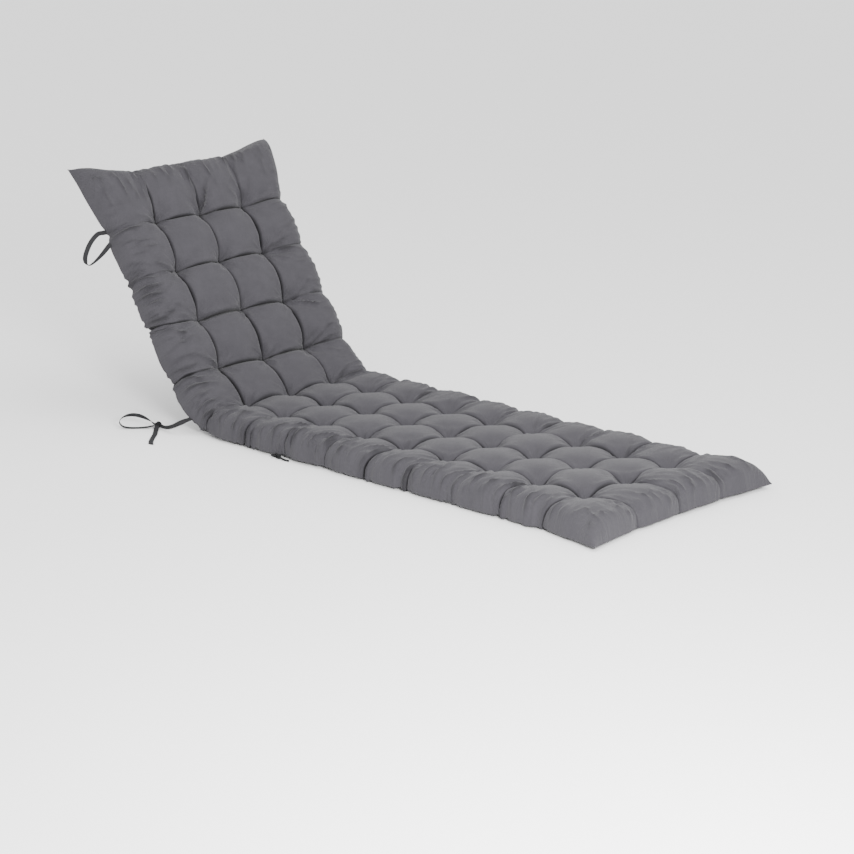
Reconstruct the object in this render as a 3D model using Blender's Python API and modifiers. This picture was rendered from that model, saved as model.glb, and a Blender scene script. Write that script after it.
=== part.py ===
"""A tufted sun lounger cushion, bent as it lies on a lounger with its back raised.

Metres, +Z up. +X runs along the seat to the foot end, +Y across to the far side.
The underside of the seat is flat at z = 0, and the origin is under the middle of the cushion.
"""

import math
import random

import bmesh
import bpy
import numpy as np
from mathutils import Vector

# The cover, measured along the cloth.
ROWS = 14                 # puffs from the foot end to the head end
COLUMNS = 4               # puffs across
ROW_PITCH = 0.1376        # between rows of tufts
COLUMN_PITCH = 0.148      # between columns of tufts
END_ROW = 0.154           # from the last row of tufts to the seam at either end
SIDE_COLUMN = 0.148       # from the outer column of tufts to the side seam
QUADS_PER_PUFF = 6

# Heights above the underside of the flat seat.
TUFT_TOP = 0.026
TUFT_LINE = 0.027
TUFT_UNDER = 0.019
CROWN = 0.074             # top of a puff
SEAM_HEIGHT = 0.0105
SEAM_EDGE = 0.004         # thickness of the sewn edge itself

# A puff's shape.
PUFF_ROUND = 2.6          # exponent of the superellipse that its section follows
CREASE = 0.84             # height of a fold midway between two tufts, as a share of a puff
UNDER_CREASE = 0.74
LIP = 0.84                # where a puff's rounded edge starts, as a share of its height there
UNDER_FLAT = 1.60         # how far the underside is pressed flat, 1 is not at all
BACK_SWELL = 0.34         # how much further the underside swells where nothing presses it

# The seam's outline.
NOTCH = 0.005             # the seam is drawn in by this at the end of each line of tufts
EAR_SIDE = 0.028          # the corners stand out by this to the side
EAR_END = 0.023           # and by this past the ends
EAR_TAPER = 1.4
HEAD_EAR = 1.35           # the two corners at the head stand out this many times as far
EAR_LIFT = 0.012          # and rise by this

# The side view: a flat seat, one bend and a straight back.
SEAT_FLAT = 1.195
BEND_RADIUS = 0.185
BACK_ANGLE = math.radians(56)

# Hand-made unevenness.
SEED = 11
TUFT_WANDER = 0.0035
PUFF_WANDER = 0.0035

# Tape and cord of the ties. A tape's thickness is rounded up to what packs well.
TAPE_WIDTH = 0.012
TAPE_THICK = 0.0018
CORD_DIAMETER = 0.0045
ROUTE_STEPS = 3           # sections between two points of a route

# Each route is a smooth curve through these points, in millimetres. The last three columns are
# the direction of the tape's width there.
BACK_LOOP = (
    #   x       y      z     wx     wy    wz
    (-765.0, -300.5, 462.0, -0.56, 0.00, 0.83),
    (-768.0, -318.0, 460.0, -0.75, 0.00, 0.66),
    (-771.0, -338.0, 442.0, -0.95, 0.00, 0.30),
    (-774.0, -351.0, 417.0, -1.00, 0.00, 0.00),
    (-774.0, -355.0, 399.0, -1.00, 0.10, 0.00),
    (-767.0, -352.0, 388.0, -0.90, 0.40, -0.10),
    (-759.0, -344.0, 391.0, -0.85, 0.45, 0.05),
    (-752.0, -322.0, 409.0, -0.75, 0.20, 0.40),
    (-747.0, -301.0, 430.0, -0.56, 0.00, 0.83),
)
BEND_STRAP = (
    (-461.0, -299.0, 37.0, -0.94, 0.00, 0.34),
    (-467.0, -311.0, 33.0, -0.80, -0.30, 0.30),
    (-480.0, -321.0, 25.0, -0.50, -0.50, 0.50),
    (-501.0, -325.0, 15.0, -0.10, -0.60, 0.75),
    (-524.0, -322.5, 9.0, 0.10, -0.50, 0.85),
    (-546.0, -318.5, 8.0, 0.10, -0.30, 0.95),
)
BEND_BOW = (
    (-566.5, -325.0, 12.0, 0.72, -0.69, 0.0),
    (-574.5, -335.0, 22.0, 0.72, -0.69, 0.0),
    (-588.0, -350.0, 32.0, 0.72, -0.69, 0.0),
    (-604.0, -366.0, 34.5, 0.72, -0.69, 0.0),
    (-618.0, -380.0, 28.0, 0.72, -0.69, 0.0),
    (-624.0, -386.0, 16.0, 0.72, -0.69, 0.0),
    (-618.0, -380.0, 5.0, 0.72, -0.69, 0.0),
    (-605.0, -367.0, 1.4, 0.72, -0.69, 0.0),
    (-590.0, -352.0, 1.4, 0.72, -0.69, 0.0),
    (-579.0, -339.5, 2.4, 0.72, -0.69, 0.0),
    (-567.5, -327.0, 5.0, 0.72, -0.69, 0.0),
)
BEND_TAIL = (
    (-552.0, -326.6, 7.5, 0.72, 0.69, 0.0),
    (-545.0, -334.0, 3.2, 0.72, 0.69, 0.0),
    (-535.0, -345.0, 1.3, 0.72, 0.69, 0.0),
    (-514.0, -366.0, 1.3, 0.74, 0.67, 0.0),
    (-493.0, -391.0, 1.3, 0.78, 0.62, 0.0),
    (-474.0, -412.0, 1.3, 0.70, 0.71, 0.0),
    (-455.0, -429.0, 1.3, 0.66, 0.75, 0.0),
)
SEAT_LOOP = (
    (-145.5, -302.5, 7.5),
    (-152.0, -305.0, 8.5),
    (-158.5, -304.5, 7.0),
    (-162.0, -301.0, 4.8),
    (-160.0, -297.2, 3.2),
    (-154.0, -296.0, 2.9),
    (-145.6, -297.5, 3.2),
)
SEAT_END = (
    (-132.6, -300.5, 5.0),
    (-125.0, -301.5, 3.6),
    (-115.0, -301.5, 2.7),
    (-105.0, -300.5, 2.6),
)

BEND_KNOT = (-0.5555, -0.3185, 0.0090)
BEND_KNOT_SIZE = (0.0160, 0.0150, 0.0172)
SEAT_KNOT = (-0.1390, -0.3000, 0.0064)
SEAT_KNOT_SIZE = (0.0120, 0.0120, 0.0122)
KNOT_SEGMENTS = 14
KNOT_RINGS = 10

LENGTH = 2 * END_ROW + (ROWS - 2) * ROW_PITCH
WIDTH = 2 * SIDE_COLUMN + (COLUMNS - 2) * COLUMN_PITCH
MM = 0.001


def clear_scene():
    for thing in list(bpy.data.objects):
        bpy.data.objects.remove(thing, do_unlink=True)


def material(name, colour, roughness):
    finish = bpy.data.materials.new(name)
    finish.use_nodes = True
    shader = finish.node_tree.nodes["Principled BSDF"]
    shader.inputs["Base Color"].default_value = (*colour, 1.0)
    shader.inputs["Roughness"].default_value = roughness
    shader.inputs["Metallic"].default_value = 0.0
    return finish


def smooth(x):
    x = min(max(x, 0.0), 1.0)
    return x * x * (3 - 2 * x)


def lines(first, pitch, count):
    """Places of the two seams and of the tuft lines between them, from 0."""
    inner = [first + pitch * k for k in range(count - 1)]
    return [0.0] + inner + [inner[-1] + first]


ROW_LINES = lines(END_ROW, ROW_PITCH, ROWS)
COLUMN_LINES = [c - WIDTH / 2 for c in lines(SIDE_COLUMN, COLUMN_PITCH, COLUMNS)]


def superellipse(angle):
    """How high and how far across a puff's section is at this angle of its parameter."""
    s, c = math.sin(angle), math.cos(angle)
    return abs(s) ** (2 / PUFF_ROUND), math.copysign(abs(c) ** (2 / PUFF_ROUND), c)


def in_puff(share, marks):
    """What a share 0..1 of the way along marks is in its puff.

    Its cell, its part of the cell, its place, its rise above the puff's edge, how far it is from
    the puff's middle towards the tufts, whether the seam is on that side, and how near the seam.
    """
    cells = len(marks) - 1
    cell = min(int(share * cells + 1e-9), cells - 1)
    part = min(max(share * cells - cell, 0.0), 1.0)
    rise, across = superellipse(math.pi * part)
    low, high = marks[cell], marks[cell + 1]
    where = (low + high) / 2 - across * (high - low) / 2
    if part in (0.0, 1.0):
        rise = 0.0
    outer = (cell == 0 and part < 0.5) or (cell == cells - 1 and part > 0.5)
    away = 0.0 if outer else abs(across)
    seam = 0.0
    if cell == 0:
        seam = 1 - (where - marks[0]) / (marks[1] - marks[0])
    if cell == cells - 1:
        seam = 1 - (marks[-1] - where) / (marks[-1] - marks[-2])
    return cell, part, where, rise, away, outer, seam


def unevenness():
    """A small seeded shift for each tuft and a small change of height for each puff."""
    dice = random.Random(SEED)
    shifts = np.zeros((ROWS + 1, COLUMNS + 1, 2))
    for row in range(1, ROWS):
        for column in range(1, COLUMNS):
            shifts[row, column] = [dice.uniform(-TUFT_WANDER, TUFT_WANDER) for _ in range(2)]
    heights = [[dice.uniform(-PUFF_WANDER, PUFF_WANDER) for _ in range(COLUMNS)] for _ in range(ROWS)]
    return shifts, heights


TUFT_SHIFTS, PUFF_HEIGHTS = unevenness()


def tuft_shift(row, a, column, b):
    """The shifts of the four tufts round a puff, blended to a place in it."""
    near = TUFT_SHIFTS[row, column] * (1 - b) + TUFT_SHIFTS[row, column + 1] * b
    far = TUFT_SHIFTS[row + 1, column] * (1 - b) + TUFT_SHIFTS[row + 1, column + 1] * b
    return near * (1 - a) + far * a


def place(s, t, n):
    """World point: s along the cloth from the foot seam, t across, n above the seat's underside."""
    turn = min(max(s - SEAT_FLAT, 0.0) / BEND_RADIUS, BACK_ANGLE)
    straight = max(s - SEAT_FLAT - BEND_RADIUS * BACK_ANGLE, 0.0)
    x = -min(s, SEAT_FLAT) - BEND_RADIUS * math.sin(turn) - straight * math.cos(turn)
    z = TUFT_LINE + BEND_RADIUS * (1 - math.cos(turn)) + straight * math.sin(turn)
    lift = n - TUFT_LINE
    return np.array((x + math.sin(turn) * lift, t, z + math.cos(turn) * lift))


def dome(a, b, crease):
    """A puff's height: 1 in its middle, crease midway between two tufts and 0 at a tuft."""
    return 1 - (1 - crease) * (a * a + b * b) - (2 * crease - 1) * a * a * b * b


def roll(rise, outer):
    """A puff's edge rolls a little way down into the fold, or all the way down to the seam."""
    return rise if outer else LIP + (1 - LIP) * rise


def cover_point(u, v, upper):
    """A point of the upper or the lower cover, at shares u along and v across."""
    row, a, s, rise_a, away_a, outer_a, end_near = in_puff(u, ROW_LINES)
    column, b, t, rise_b, away_b, outer_b, side_near = in_puff(v, COLUMN_LINES)
    inside = smooth(1 - end_near) * smooth(1 - side_near)
    puff = dome(away_a, away_b, CREASE if upper else UNDER_CREASE)
    puff *= roll(rise_a, outer_a) * roll(rise_b, outer_b)

    if upper:
        base = SEAM_HEIGHT + SEAM_EDGE / 2 + (TUFT_TOP - SEAM_HEIGHT) * inside
        full = CROWN + PUFF_HEIGHTS[row][column] - base
        n = base + full * puff
    else:
        base = SEAM_HEIGHT - SEAM_EDGE / 2 + (TUFT_UNDER - SEAM_HEIGHT) * inside
        swell = 1 + BACK_SWELL * smooth((s - SEAT_FLAT) / (BEND_RADIUS * BACK_ANGLE))
        n = base * (1 - min(UNDER_FLAT * puff, swell))

    # The seam is drawn in at the end of each line of tufts, and the corners stand out.
    side = 1 if v > 0.5 else -1
    end = 1 if u > 0.5 else -1
    if 0 < u < 1:
        t -= side * NOTCH * (1 - rise_a) * side_near ** 2
    if 0 < v < 1:
        s -= end * NOTCH * (1 - rise_b) * end_near ** 2
    ear = (end_near * side_near) ** EAR_TAPER
    if end > 0:
        n += EAR_LIFT * ear
        ear *= HEAD_EAR
    shift = tuft_shift(row, a, column, b)
    return place(s + end * EAR_END * ear + shift[0], t + side * EAR_SIDE * ear + shift[1], n)


def link(name, mesh, finish, collection):
    piece = bpy.data.objects.new(name, mesh)
    mesh.materials.append(finish)
    collection.objects.link(piece)
    return piece


def build_cushion(collection, finish):
    """One filled pad: two covers sewn together round a thin edge and tufted through."""
    bm = bmesh.new()
    bmesh.ops.create_grid(
        bm, x_segments=ROWS * QUADS_PER_PUFF, y_segments=COLUMNS * QUADS_PER_PUFF, size=0.5)
    bmesh.ops.solidify(bm, geom=bm.faces[:], thickness=0.1)
    heights = [vert.co.z for vert in bm.verts]
    middle = (min(heights) + max(heights)) / 2
    for vert in bm.verts:
        u = round(vert.co.x + 0.5, 6)
        v = round(vert.co.y + 0.5, 6)
        vert.co = cover_point(u, v, vert.co.z > middle)
    corners = np.array([vert.co[:] for vert in bm.verts])
    centre = (corners.min(axis=0) + corners.max(axis=0)) / 2
    bmesh.ops.translate(bm, verts=bm.verts[:], vec=Vector((-centre[0], -centre[1], 0.0)))
    bmesh.ops.triangulate(bm, faces=bm.faces[:])
    bmesh.ops.recalc_face_normals(bm, faces=bm.faces[:])
    mesh = bpy.data.meshes.new("cushion")
    bm.to_mesh(mesh)
    bm.free()
    mesh.shade_smooth()
    return link("cushion", mesh, finish, collection)


def smooth_route(points, steps):
    """Points along a smooth curve through the route's own points."""
    rows = np.array(points, float)
    rows = np.vstack((2 * rows[0] - rows[1], rows, 2 * rows[-1] - rows[-2]))
    route = []
    for k in range(1, len(rows) - 2):
        p0, p1, p2, p3 = rows[k - 1:k + 3]
        for step in range(steps):
            f = step / steps
            route.append(0.5 * (2 * p1 + (p2 - p0) * f + (2 * p0 - 5 * p1 + 4 * p2 - p3) * f ** 2
                                + (3 * p1 - p0 - 3 * p2 + p3) * f ** 3))
    route.append(rows[-2])
    return np.array(route)


def build_tape(name, table, collection, finish):
    """A flat tape: its first edge is extruded from section to section, then thickened."""
    route = smooth_route(table, ROUTE_STEPS)
    centres = route[:, :3] * MM
    tangents = np.gradient(centres, axis=0)
    tangents /= np.linalg.norm(tangents, axis=1)[:, None]
    widths = route[:, 3:] - tangents * (route[:, 3:] * tangents).sum(axis=1)[:, None]
    widths *= TAPE_WIDTH / 2 / np.linalg.norm(widths, axis=1)[:, None]
    bm = bmesh.new()
    pair = [bm.verts.new(centres[0] - widths[0]), bm.verts.new(centres[0] + widths[0])]
    edge = bm.edges.new(pair)
    for centre, width in zip(centres[1:], widths[1:]):
        made = bmesh.ops.extrude_edge_only(bm, edges=[edge])["geom"]
        edge = [item for item in made if isinstance(item, bmesh.types.BMEdge)][0]
        first, second = edge.verts
        if (first.co - second.co).dot(Vector(width)) > 0:
            first, second = second, first
        first.co = centre - width
        second.co = centre + width
    mesh = bpy.data.meshes.new(name)
    bm.to_mesh(mesh)
    bm.free()
    piece = link(name, mesh, finish, collection)
    solid = piece.modifiers.new("thickness", "SOLIDIFY")
    solid.thickness = TAPE_THICK
    solid.offset = 0.0
    solid.use_even_offset = True
    return piece


def build_cord(name, table, collection, finish):
    """A round cord along a route."""
    route = smooth_route(table, ROUTE_STEPS) * MM
    curve = bpy.data.curves.new(name, "CURVE")
    curve.dimensions = "3D"
    curve.bevel_depth = CORD_DIAMETER / 2
    curve.bevel_resolution = 2
    curve.use_fill_caps = True
    spline = curve.splines.new("POLY")
    spline.points.add(len(route) - 1)
    for point, where in zip(spline.points, route):
        point.co = (*where, 1.0)
    return link(name, curve, finish, collection)


def build_knot(name, centre, size, collection, finish):
    """A tied knot, as one rounded lump."""
    bm = bmesh.new()
    bmesh.ops.create_uvsphere(bm, u_segments=KNOT_SEGMENTS, v_segments=KNOT_RINGS, radius=0.5)
    bmesh.ops.scale(bm, vec=Vector(size), verts=bm.verts[:])
    bmesh.ops.translate(bm, vec=Vector(centre), verts=bm.verts[:])
    mesh = bpy.data.meshes.new(name)
    bm.to_mesh(mesh)
    bm.free()
    mesh.shade_smooth()
    return link(name, mesh, finish, collection)


def main():
    clear_scene()
    collection = bpy.data.collections.new("lounger_cushion")
    bpy.context.scene.collection.children.link(collection)
    cloth = material("cover_cloth", (0.115, 0.112, 0.125), 0.9)
    webbing = material("tie_tape", (0.080, 0.080, 0.085), 0.85)
    dark_cord = material("seat_tie_cord", (0.020, 0.020, 0.022), 0.8)

    build_cushion(collection, cloth)
    for name, table in (
        ("back_loop", BACK_LOOP),
        ("bend_strap", BEND_STRAP),
        ("bend_bow", BEND_BOW),
        ("bend_tail", BEND_TAIL),
    ):
        build_tape(name, table, collection, webbing)
    build_knot("bend_knot", BEND_KNOT, BEND_KNOT_SIZE, collection, webbing)
    for name, table in (("seat_loop", SEAT_LOOP), ("seat_end", SEAT_END)):
        build_cord(name, table, collection, dark_cord)
    build_knot("seat_knot", SEAT_KNOT, SEAT_KNOT_SIZE, collection, dark_cord)


main()
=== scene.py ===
# %% [markdown]
# A tufted sun lounger cushion, in one lesson.
#
# The real thing is simple sewing: two long panels of woven polyester are joined all round, turned,
# stuffed with loose fibre and then stitched right through in rows. Each stitch pulls the covers
# together, so the filling stands up in puffs between them. This file makes that cushion and its tie
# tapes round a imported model, the frame, whose solids already have the right size and place.

# %% Load the frame
import math
import random

import bpy
import numpy as np
from mathutils import Matrix, Vector


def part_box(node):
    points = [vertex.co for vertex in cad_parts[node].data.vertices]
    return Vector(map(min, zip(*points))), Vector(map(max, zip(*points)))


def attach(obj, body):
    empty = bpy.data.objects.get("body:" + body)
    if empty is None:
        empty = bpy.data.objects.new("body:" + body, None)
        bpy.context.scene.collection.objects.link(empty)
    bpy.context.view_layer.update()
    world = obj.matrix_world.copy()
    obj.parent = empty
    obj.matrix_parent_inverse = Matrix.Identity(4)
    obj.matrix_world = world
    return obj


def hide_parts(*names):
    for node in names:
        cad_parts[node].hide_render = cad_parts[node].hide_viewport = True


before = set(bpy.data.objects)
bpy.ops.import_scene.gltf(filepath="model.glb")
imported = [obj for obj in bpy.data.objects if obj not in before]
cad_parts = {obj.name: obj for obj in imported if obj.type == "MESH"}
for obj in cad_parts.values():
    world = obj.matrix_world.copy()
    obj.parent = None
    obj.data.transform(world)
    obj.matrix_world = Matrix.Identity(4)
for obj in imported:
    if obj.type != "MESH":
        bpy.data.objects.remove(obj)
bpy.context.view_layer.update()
MM = 0.001
PAD_LOW, PAD_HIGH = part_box("cushion")
print("the cushion's solid is", [round(side, 3) for side in PAD_HIGH - PAD_LOW], "m")

# %% [markdown]
# Operators work on whatever is selected, and the frame arrives selected. So there is one small
# helper that clears the selection and makes a single object active, and it runs before each
# operator. A second one names what the last primitive made. The last ones read and move points.

# %% Selection helpers


def only(piece):
    """Select this object alone and make it the active one."""
    bpy.ops.object.select_all(action="DESELECT")
    piece.select_set(True)
    bpy.context.view_layer.objects.active = piece
    return piece


def named(name):
    """The object that an operator has just made, under its own name."""
    piece = bpy.context.object
    piece.name = name
    piece.data.name = name
    return piece


def apply_modifiers(piece):
    only(piece)
    for modifier in list(piece.modifiers):
        bpy.ops.object.modifier_apply(modifier=modifier.name)


def read(collection, name, width=1, kind=float):
    """One property of all the vertices, edges or corners of a mesh, as an array."""
    flat = np.empty(len(collection) * width, np.float32 if kind is float else np.int32)
    collection.foreach_get(name, flat)
    flat = flat.astype(kind)
    return flat.reshape(-1, width) if width > 1 else flat


def points_of(piece):
    """All the vertices of a mesh as rows of x, y, z."""
    return read(piece.data.vertices, "co", 3)


def move_points(piece, points):
    piece.data.vertices.foreach_set("co", np.asarray(points, np.float32).ravel())
    piece.data.update()


# %% [markdown]
# The camera stands at the foot end, on the side of the ties, a little above the cushion. A long
# lens from about six metres away keeps the far end from shrinking, as in a catalogue picture.

# %% Camera
CAMERA_AIM = Vector((0.0715, -0.0099, 0.0612))
CAMERA_PLACE = Vector((4.1624, -4.3118, 1.7182))
CAMERA_LENS = 108.3

bpy.ops.object.select_all(action="DESELECT")
bpy.ops.object.camera_add(location=CAMERA_PLACE)
camera = named("view")
camera.rotation_euler = (CAMERA_AIM - CAMERA_PLACE).to_track_quat("-Z", "Y").to_euler()
camera.data.lens = CAMERA_LENS
camera.data.sensor_width = 36.0
camera.data.clip_end = 100.0
bpy.context.scene.camera = camera
print("the camera stands", round((CAMERA_PLACE - CAMERA_AIM).length, 2), "m away")

# %% [markdown]
# Shader sums read best as sums. `Value` wraps the output of a node, so that `1 - mask * 0.5` on it
# adds the Math nodes that work it out. `Finish` holds one material: its `node` method makes any
# other node, with the settings first and the sockets after.

# %% Material helpers


class Value:
    """A number, vector or colour that travels between nodes."""

    def __init__(self, finish, socket):
        self.finish = finish
        self.socket = socket

    def __add__(self, other):
        return self.finish.maths("ADD", self, other)

    def __sub__(self, other):
        return self.finish.maths("SUBTRACT", self, other)

    def __rsub__(self, other):
        return self.finish.maths("SUBTRACT", other, self)

    def __mul__(self, other):
        return self.finish.maths("MULTIPLY", self, other)

    def __truediv__(self, other):
        return self.finish.maths("DIVIDE", self, other)

    def __pow__(self, other):
        return self.finish.maths("POWER", self, other)

    __radd__ = __add__
    __rmul__ = __mul__


class Finish:
    """One material, and short ways to add nodes to it."""

    def __init__(self, name, colour, roughness):
        self.material = bpy.data.materials.new(name)
        self.material.use_nodes = True
        self.tree = self.material.node_tree
        self.shader = self.tree.nodes["Principled BSDF"]
        self.set("Base Color", (*colour, 1.0))
        self.set("Roughness", roughness)

    def put(self, value, socket):
        """Link what varies over the surface to a socket, or give the socket a constant."""
        if isinstance(value, Value):
            self.tree.links.new(value.socket, socket)
        else:
            socket.default_value = value

    def set(self, name, value):
        self.put(value, self.shader.inputs[name])

    def node(self, kind, settings=None, sockets=None, output=0):
        """Any node: its settings first, then the values or links of its sockets."""
        made = self.tree.nodes.new(kind)
        for name, value in (settings or {}).items():
            setattr(made, name, value)
        for name, value in (sockets or {}).items():
            self.put(value, made.inputs[name])
        return Value(self, made.outputs[output])

    def maths(self, operation, *values):
        return self.node("ShaderNodeMath", {"operation": operation}, dict(enumerate(values)))

    def wave(self, value, length):
        """A sine from -1 to 1 that comes back after this length."""
        return self.maths("SINE", value * (2 * math.pi / length))

    def clamped(self, value):
        return self.node("ShaderNodeClamp", {}, {"Value": value})

    def attribute(self, name):
        """A number that is kept at each point of the mesh."""
        return self.node("ShaderNodeAttribute", {"attribute_name": name}, output="Fac")

    def uv(self, along=1.0, across=1.0):
        """The piece's own UV map, in metres, stretched by these factors."""
        flat = self.node("ShaderNodeUVMap", {"uv_map": "UVMap"})
        return self.node("ShaderNodeMapping", {}, {"Vector": flat, "Scale": (along, across, 1.0)})

    def noise(self, vector, scale, detail=2.0, roughness=0.5):
        return self.node("ShaderNodeTexNoise", {}, {
            "Vector": vector, "Scale": scale, "Detail": detail, "Roughness": roughness})

    def blend(self, share, first, second):
        """A colour between two colours. A Mix node's colour sockets are numbers 6 and 7."""
        return self.node("ShaderNodeMix", {"data_type": "RGBA"}, {0: share, 6: first, 7: second}, 2)

    def parts(self, vector):
        """The x and the y of a vector."""
        split = {"Vector": vector}
        return (self.node("ShaderNodeSeparateXYZ", {}, split, "X"),
                self.node("ShaderNodeSeparateXYZ", {}, split, "Y"))

    def bump(self, height, strength, distance, before=None):
        sockets = {"Height": height, "Strength": strength, "Distance": distance}
        if before is not None:
            sockets["Normal"] = before
        return self.node("ShaderNodeBump", {}, sockets)


# %% [markdown]
# The ties are narrow woven tape, sewn into the side seam. Woven tape shows fine ribs across it and
# a smooth edge on each side. The ribs are a wave along the tape's own UV map, so they turn with it.

# %% Tape and cord finishes
TAPE_COLOUR = (0.020, 0.020, 0.0215)
# painted shade: the knot's tape is coloured darker than the same tape elsewhere, for the shadow in its
# folds
KNOT_PAINTED_SHADE_COLOUR = (0.009, 0.009, 0.010)
TAPE_RIB = 0.0011
CORD_COLOUR = (0.009, 0.009, 0.010)
CORD_TURN = 0.0016
TIE_SHINE = 0.15


def shade_of(colour, factor):
    """The same colour, darker or lighter, with the fourth number that a socket wants."""
    return (*(part * factor for part in colour), 1.0)


def tape_finish(name, colour):
    finish = Finish(name, colour, 0.82)
    flat = finish.uv()
    along, across = finish.parts(flat)
    ribs = finish.wave(along, TAPE_RIB)
    chains = finish.wave(across, TAPE_RIB)
    patch = finish.noise(flat, 140.0, 3.0)
    share = finish.clamped(patch * 0.8 + ribs * 0.12 + 0.1)
    finish.set("Base Color", finish.blend(share, shade_of(colour, 0.72), shade_of(colour, 1.35)))
    finish.set("Roughness", 0.74 + patch * 0.16)
    finish.set("Specular IOR Level", TIE_SHINE)
    finish.set("Normal", finish.bump(ribs + chains * 0.5, 0.5, 0.00025))
    return finish.material


def cord_finish():
    finish = Finish("seat_tie_cord", CORD_COLOUR, 0.8)
    along, around = finish.parts(finish.uv())
    strands = finish.wave(along + around * 0.5, CORD_TURN)
    share = finish.clamped(strands * 0.5 + 0.5)
    finish.set("Base Color", finish.blend(share, shade_of(CORD_COLOUR, 0.7), shade_of(CORD_COLOUR, 1.9)))
    finish.set("Specular IOR Level", TIE_SHINE)
    finish.set("Normal", finish.bump(strands, 0.7, 0.0003))
    return finish.material


TAPE_FINISH = tape_finish("tie_tape", TAPE_COLOUR)
# painted shade: a darker copy of the tape finish, for the knot
KNOT_PAINTED_SHADE_FINISH = tape_finish("tie_tape_knot_painted_shade", KNOT_PAINTED_SHADE_COLOUR)
CORD_FINISH = cord_finish()

# %% [markdown]
# A tie's route is a short list of given points, the same ones that the solids follow. The last three
# columns say which way the tape's width points there, so that it can twist. A smooth curve runs through
# them.

# %% Routes of the ties
TAPE_WIDTH = 0.012
TAPE_THICK = 0.0013
CORD_DIAMETER = 0.0045
ROUTE_STEPS = 6
BACK_LOOP = (
    #   x       y      z     wx     wy    wz
    (-765.0, -300.5, 462.0, -0.56, 0.00, 0.83),
    (-768.0, -318.0, 460.0, -0.70, -0.20, 0.70),
    (-771.0, -338.0, 442.0, -0.80, -0.45, 0.40),
    (-774.0, -351.0, 417.0, -0.75, -0.60, 0.25),
    (-774.0, -355.0, 399.0, -0.85, -0.40, 0.15),
    (-767.0, -352.0, 388.0, -0.90, 0.40, -0.10),
    (-759.0, -344.0, 391.0, -0.85, 0.45, 0.05),
    (-752.0, -322.0, 409.0, -0.75, 0.20, 0.40),
    (-747.0, -301.0, 430.0, -0.56, 0.00, 0.83),
)
BEND_STRAP = (
    (-461.0, -299.0, 37.0, -0.94, 0.00, 0.34),
    (-467.0, -311.0, 33.0, -0.80, -0.30, 0.30),
    (-480.0, -321.0, 25.0, -0.50, -0.50, 0.50),
    (-501.0, -325.0, 15.0, -0.10, -0.60, 0.75),
    (-524.0, -322.5, 9.0, 0.10, -0.50, 0.85),
    (-546.0, -318.5, 8.0, 0.10, -0.30, 0.95),
)
BEND_BOW = (
    (-566.5, -325.0, 12.0, 0.72, -0.69, 0.0),
    (-574.5, -335.0, 22.0, 0.55, -0.53, 0.6),
    (-588.0, -350.0, 32.0, 0.40, -0.38, 1.0),
    (-604.0, -366.0, 34.5, 0.45, -0.43, 0.8),
    (-618.0, -380.0, 28.0, 0.65, -0.62, 0.4),
    (-624.0, -386.0, 16.0, 0.72, -0.69, 0.0),
    (-618.0, -380.0, 5.0, 0.72, -0.69, 0.0),
    (-605.0, -367.0, 1.4, 0.72, -0.69, 0.0),
    (-590.0, -352.0, 1.4, 0.72, -0.69, 0.0),
    (-579.0, -339.5, 2.4, 0.72, -0.69, 0.0),
    (-567.5, -327.0, 5.0, 0.72, -0.69, 0.0),
)
BEND_TAIL = (
    (-552.0, -326.6, 7.5, 0.72, 0.69, 0.0),
    (-545.0, -334.0, 3.2, 0.72, 0.69, 0.0),
    (-535.0, -345.0, 1.3, 0.72, 0.69, 0.0),
    (-514.0, -366.0, 1.3, 0.74, 0.67, 0.0),
    (-493.0, -391.0, 1.3, 0.78, 0.62, 0.0),
    (-474.0, -412.0, 1.3, 0.70, 0.71, 0.0),
    (-455.0, -429.0, 1.3, 0.66, 0.75, 0.0),
)
SEAT_LOOP = (
    (-145.5, -302.5, 7.5),
    (-152.0, -305.0, 8.5),
    (-158.5, -304.5, 7.0),
    (-162.0, -301.0, 4.8),
    (-160.0, -297.2, 3.2),
    (-154.0, -296.0, 2.9),
    (-145.6, -297.5, 3.2),
)
SEAT_END = (
    (-137.0, -300.2, 6.2),
    (-132.6, -300.5, 5.0),
    (-125.0, -301.5, 3.6),
    (-115.0, -301.5, 2.7),
    (-105.0, -300.5, 2.6),
)


def smooth_route(points):
    """Rows along a smooth curve that goes through every row of the list."""
    rows = np.array(points, float)
    rows = np.vstack((2 * rows[0] - rows[1], rows, 2 * rows[-1] - rows[-2]))
    route = []
    for k in range(1, len(rows) - 2):
        p0, p1, p2, p3 = rows[k - 1:k + 3]
        for step in range(ROUTE_STEPS):
            f = step / ROUTE_STEPS
            route.append(0.5 * (2 * p1 + (p2 - p0) * f + (2 * p0 - 5 * p1 + 4 * p2 - p3) * f ** 2
                                + (3 * p1 - p0 - 3 * p2 + p3) * f ** 3))
    route.append(rows[-2])
    return np.array(route)


def tucked(route, start, end):
    """The route with its ends carried on straight, into the seam or the knot that holds them."""
    if start:
        step = route[0] - route[1]
        route = np.vstack((route[0] + step * start / np.linalg.norm(step[:3]), route))
    if end:
        step = route[-1] - route[-2]
        route = np.vstack((route, route[-1] + step * end / np.linalg.norm(step[:3])))
    return route


def length_of(route):
    return float(np.linalg.norm(np.diff(route[:, :3], axis=0), axis=1).sum())


# %% [markdown]
# A tape starts as a flat grid, as long and as wide as it is cut. Each row of the grid is carried to
# its place on the route, as if the tape were laid there by hand. Solidify gives it its thickness,
# and a small bevel rounds the woven edges.

# %% Tapes
TAPE_QUADS_ACROSS = 8
TAPE_SELVEDGE = 0.00035
FACET_ANGLE = math.radians(40)


def set_metres(piece, length, width):
    """Scale a primitive's UV map to metres, so that a weave has one size on every piece."""
    layer = piece.data.uv_layers["UVMap"].uv
    layer.foreach_set("vector", (read(layer, "vector", 2) * (length, width)).ravel())


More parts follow.
